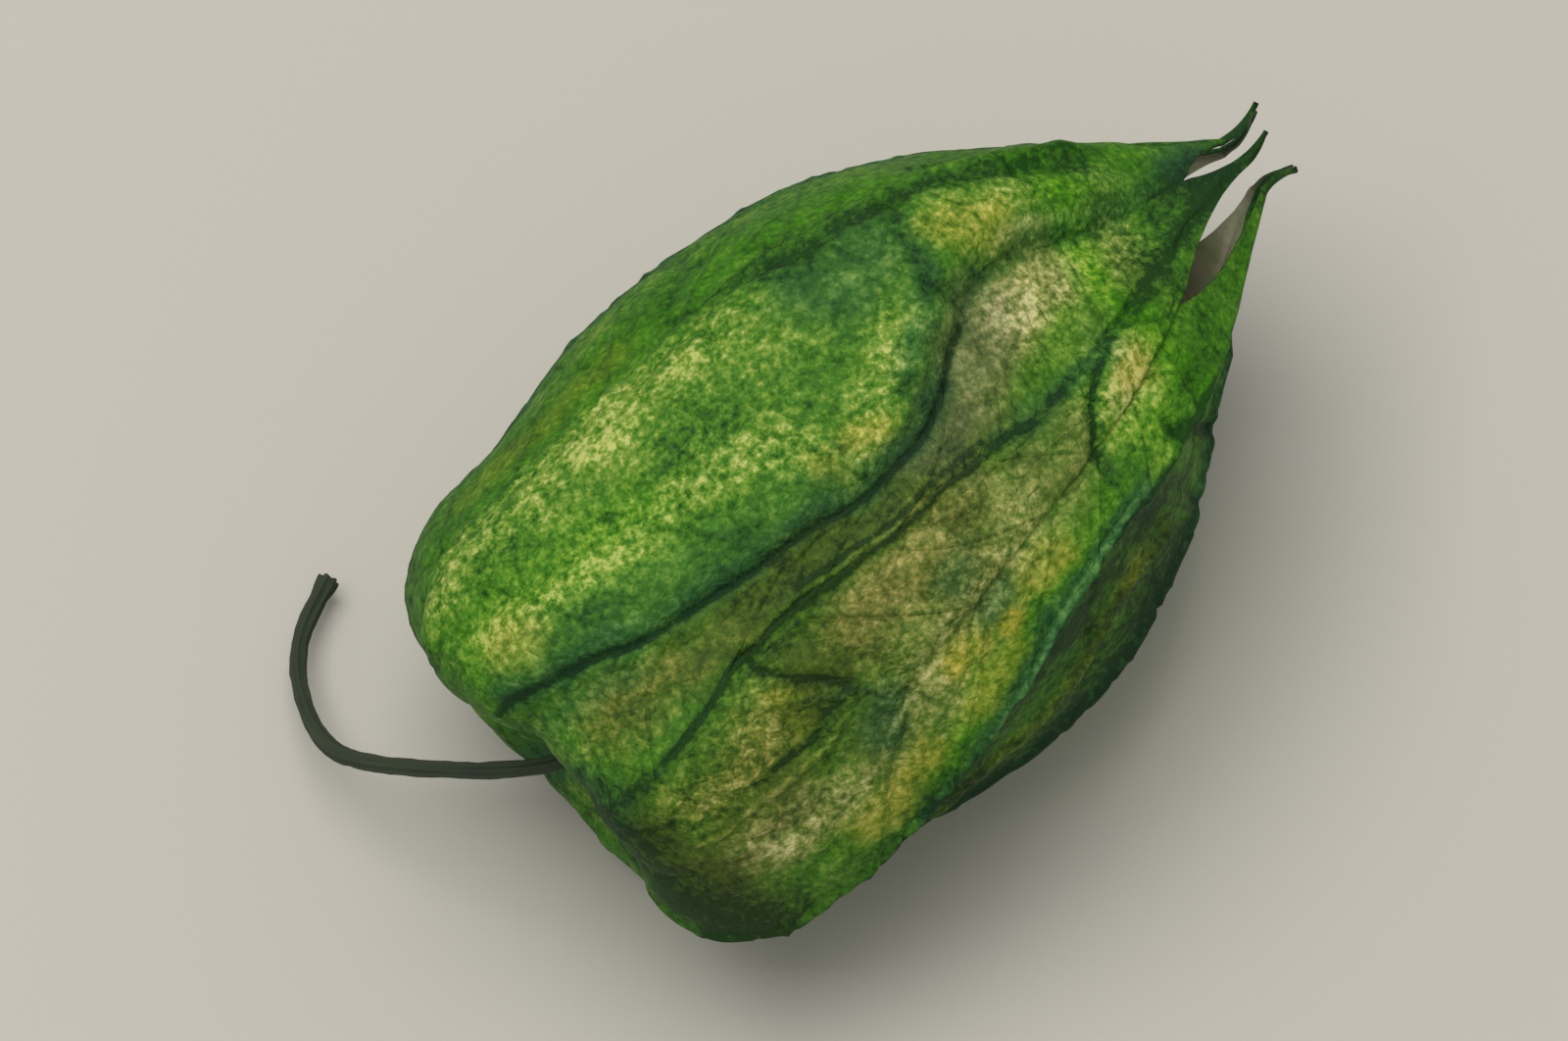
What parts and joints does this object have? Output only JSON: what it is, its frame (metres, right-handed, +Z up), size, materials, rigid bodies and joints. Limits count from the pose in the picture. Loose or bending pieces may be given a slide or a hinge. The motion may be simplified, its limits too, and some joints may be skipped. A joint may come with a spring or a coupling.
{
  "type": "physalis berry",
  "caption": "Dried physalis lying on its side: a ribbed papery husk with parted teeth, the shrunken berry inside it and its curled stem.",
  "frame": {"origin": "on the surface it rests on, under the middle of its bounding box", "axes": "+X along the husk from the stem to the teeth, +Y to the side the stem curls to, +Z up"},
  "size_m": [0.0606, 0.0394, 0.0318],
  "materials": {
    "husk_paper": "matt, dyed in mottled greens over a straw ground",
    "stem_bark": "matt, dark green",
    "berry_skin": "satin, wrinkled"
  },
  "bodies": {
    "root": {"husk": "husk_paper", "stem": "stem_bark", "berry": "berry_skin"}
  },
  "joints": []
}
